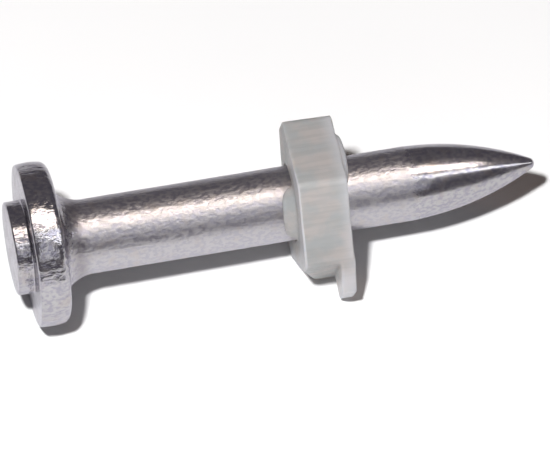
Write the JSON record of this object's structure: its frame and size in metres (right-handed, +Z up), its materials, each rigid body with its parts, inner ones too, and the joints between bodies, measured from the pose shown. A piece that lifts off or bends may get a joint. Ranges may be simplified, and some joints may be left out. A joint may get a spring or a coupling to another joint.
{
  "type": "powder-actuated drive pin with guide collar",
  "caption": "Headed steel drive pin with a stepped head and an ogive point, carrying a translucent hexagonal plastic guide collar that slides on its shank.",
  "frame": {"origin": "centre of the strike face, the flat outer face of the boss on the head", "axes": "+X along the pin from the strike face to the point, +Z up with the pin lying on its side and one flat of the collar facing down"},
  "size_m": [0.0262, 0.0088, 0.0082],
  "materials": {
    "pin_steel": "zinc-plated, frosted shank with a smooth point",
    "collar_plastic": "natural milky translucent, satin moulded"
  },
  "bodies": {
    "pin": {"drive_pin": "pin_steel"},
    "collar": {"guide_collar": "collar_plastic"}
  },
  "joints": [
    {"name": "collar_slide", "type": "slide", "parent": "pin", "child": "collar", "axis": [1, 0, 0], "range_m": [-0.0095, 0.0034]}
  ]
}
